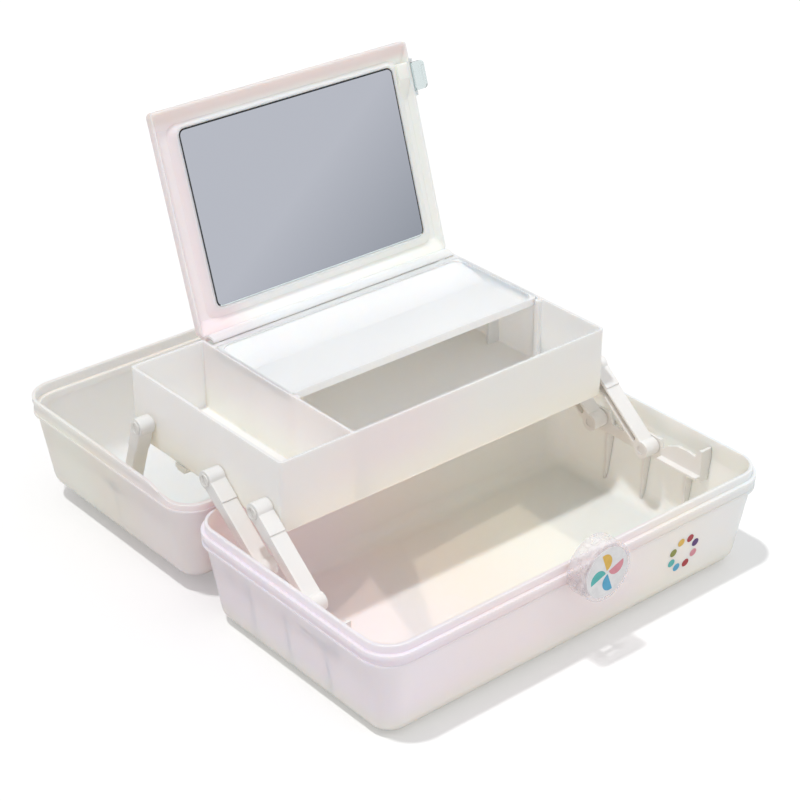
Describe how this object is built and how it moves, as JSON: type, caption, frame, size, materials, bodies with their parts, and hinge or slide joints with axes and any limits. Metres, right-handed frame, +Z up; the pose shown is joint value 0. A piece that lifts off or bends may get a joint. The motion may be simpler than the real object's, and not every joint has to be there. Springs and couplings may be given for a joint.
{
  "type": "makeup storage case with cantilever tray",
  "caption": "Vanity case lying open: belted lower tub, matching cover on hinges, divided tray carried on swinging arms, tray lid with mirror, round clear latch and bail handle.",
  "frame": {"origin": "table level, middle of the length, below the axis of the cover hinge", "axes": "+X right along the length, +Y back towards the opened cover, +Z up; rest pose is the case lying fully open with the mirror lid raised"},
  "size_m": [0.33, 0.422, 0.2783],
  "materials": {
    "base_plastic": "pearl translucent, lilac to aqua",
    "cover_plastic": "pearl translucent, cream to pink",
    "inner_white": "moulded satin white",
    "arm_white": "moulded satin white",
    "stud_white": "moulded satin white",
    "tray_white": "moulded gloss white",
    "shelf_white": "moulded gloss white",
    "lid_white": "moulded gloss white",
    "mirror_glass": "silvered",
    "backing": "matt foam pad",
    "pin_steel": "plain drawn",
    "clear_aqua": "clear tinted plastic",
    "clear_rose": "clear tinted plastic",
    "badge_print": "printed",
    "handle_plastic": "pearl translucent"
  },
  "bodies": {
    "base": {"base_shell": "base_plastic", "base_bracket_left": "inner_white", "base_bracket_right": "inner_white", "latch_mount": "base_plastic", "latch_pin": "pin_steel"},
    "hinge_leaf": {"hinge_leaf_left": "pin_steel", "hinge_leaf_right": "pin_steel", "hinge_pin_left": "pin_steel", "hinge_pin_right": "pin_steel"},
    "cover": {"cover_shell": "cover_plastic", "cover_boss_left": "inner_white", "cover_boss_right": "inner_white", "keeper": "cover_plastic", "handle_lug_left": "cover_plastic", "handle_lug_right": "cover_plastic"},
    "handle": {"handle_bail": "handle_plastic"},
    "arm_front_left": {"arm_front_left": "arm_white"},
    "arm_front_right": {"arm_front_right": "arm_white"},
    "arm_mid_left": {"arm_mid_left": "arm_white"},
    "arm_mid_right": {"arm_mid_right": "arm_white"},
    "tray": {"tray_shell": "tray_white", "tray_shelf": "shelf_white", "tray_clip_left": "tray_white", "tray_clip_right": "tray_white", "stud_front_left": "stud_white", "stud_front_right": "stud_white", "stud_mid_left": "stud_white", "stud_mid_right": "stud_white", "stud_back_left": "stud_white", "stud_back_right": "stud_white", "lid_rod": "pin_steel"},
    "link_back_left": {"link_back_left": "arm_white"},
    "link_back_right": {"link_back_right": "arm_white"},
    "lid": {"lid_panel": "lid_white", "mirror": "mirror_glass", "mirror_pad": "backing", "clasp_pin": "pin_steel"},
    "clasp": {"clasp_flap": "clear_aqua"},
    "latch": {"latch_drum": "clear_rose", "latch_badge": "badge_print"}
  },
  "joints": [
    {"name": "cover_close", "type": "hinge", "parent": "base", "child": "hinge_leaf", "pos_m": [0, 0, 0.0745], "axis": [1, 0, 0], "range_deg": [0, 15]},
    {"name": "cover_hinge", "type": "hinge", "parent": "hinge_leaf", "child": "cover", "pos_m": [0, 0, 0.0745], "axis": [1, 0, 0], "range_deg": [0, 165]},
    {"name": "arm_front_left_pivot", "type": "hinge", "parent": "base", "child": "arm_front_left", "pos_m": [-0.1442, -0.1055, 0.0543], "axis": [1, 0, 0], "range_deg": [0, 121.6]},
    {"name": "arm_front_right_pivot", "type": "hinge", "parent": "base", "child": "arm_front_right", "pos_m": [0.1442, -0.1055, 0.0543], "axis": [1, 0, 0], "range_deg": [0, 121.6]},
    {"name": "arm_mid_left_pivot", "type": "hinge", "parent": "base", "child": "arm_mid_left", "pos_m": [-0.1442, -0.0555, 0.0543], "axis": [1, 0, 0], "range_deg": [0, 121.6]},
    {"name": "arm_mid_right_pivot", "type": "hinge", "parent": "base", "child": "arm_mid_right", "pos_m": [0.1442, -0.0555, 0.0543], "axis": [1, 0, 0], "range_deg": [0, 121.6]},
    {"name": "tray_pivot", "type": "hinge", "parent": "arm_front_left", "child": "tray", "pos_m": [-0.1442, -0.05307, 0.09601], "axis": [1, 0, 0], "range_deg": [-121.6, 0]},
    {"name": "link_left_pivot", "type": "hinge", "parent": "tray", "child": "link_back_left", "pos_m": [-0.1442, 0.0736, 0.1], "axis": [1, 0, 0], "range_deg": [0, 232.1]},
    {"name": "link_right_pivot", "type": "hinge", "parent": "tray", "child": "link_back_right", "pos_m": [0.1442, 0.0736, 0.1], "axis": [1, 0, 0], "range_deg": [0, 232.1]},
    {"name": "lid_hinge", "type": "hinge", "parent": "tray", "child": "lid", "pos_m": [0.029, 0.09165, 0.1281], "axis": [1, 0, 0], "range_deg": [0, 107.7]},
    {"name": "clasp_hinge", "type": "hinge", "parent": "lid", "child": "clasp", "pos_m": [0.141, 0.13819, 0.25254], "axis": [0, -0.304, -0.9527], "range_deg": [0, 90]},
    {"name": "latch_hinge", "type": "hinge", "parent": "base", "child": "latch", "pos_m": [0, -0.2015, 0.0535], "axis": [1, 0, 0], "range_deg": [0, 90]},
    {"name": "handle_hinge", "type": "hinge", "parent": "cover", "child": "handle", "pos_m": [0, 0.199, 0.056], "axis": [1, 0, 0], "range_deg": [0, 130]}
  ],
  "couplings": [
    {"joint": "arm_front_left_pivot", "follows": "cover_hinge", "ratio": 0.73697},
    {"joint": "arm_front_right_pivot", "follows": "cover_hinge", "ratio": 0.73697},
    {"joint": "arm_mid_left_pivot", "follows": "cover_hinge", "ratio": 0.73697},
    {"joint": "arm_mid_right_pivot", "follows": "cover_hinge", "ratio": 0.73697},
    {"joint": "tray_pivot", "follows": "cover_hinge", "ratio": -0.73697},
    {"joint": "link_left_pivot", "follows": "cover_hinge", "ratio": 1.4067},
    {"joint": "link_right_pivot", "follows": "cover_hinge", "ratio": 1.4067},
    {"joint": "lid_hinge", "follows": "cover_hinge", "ratio": 0.65273}
  ]
}
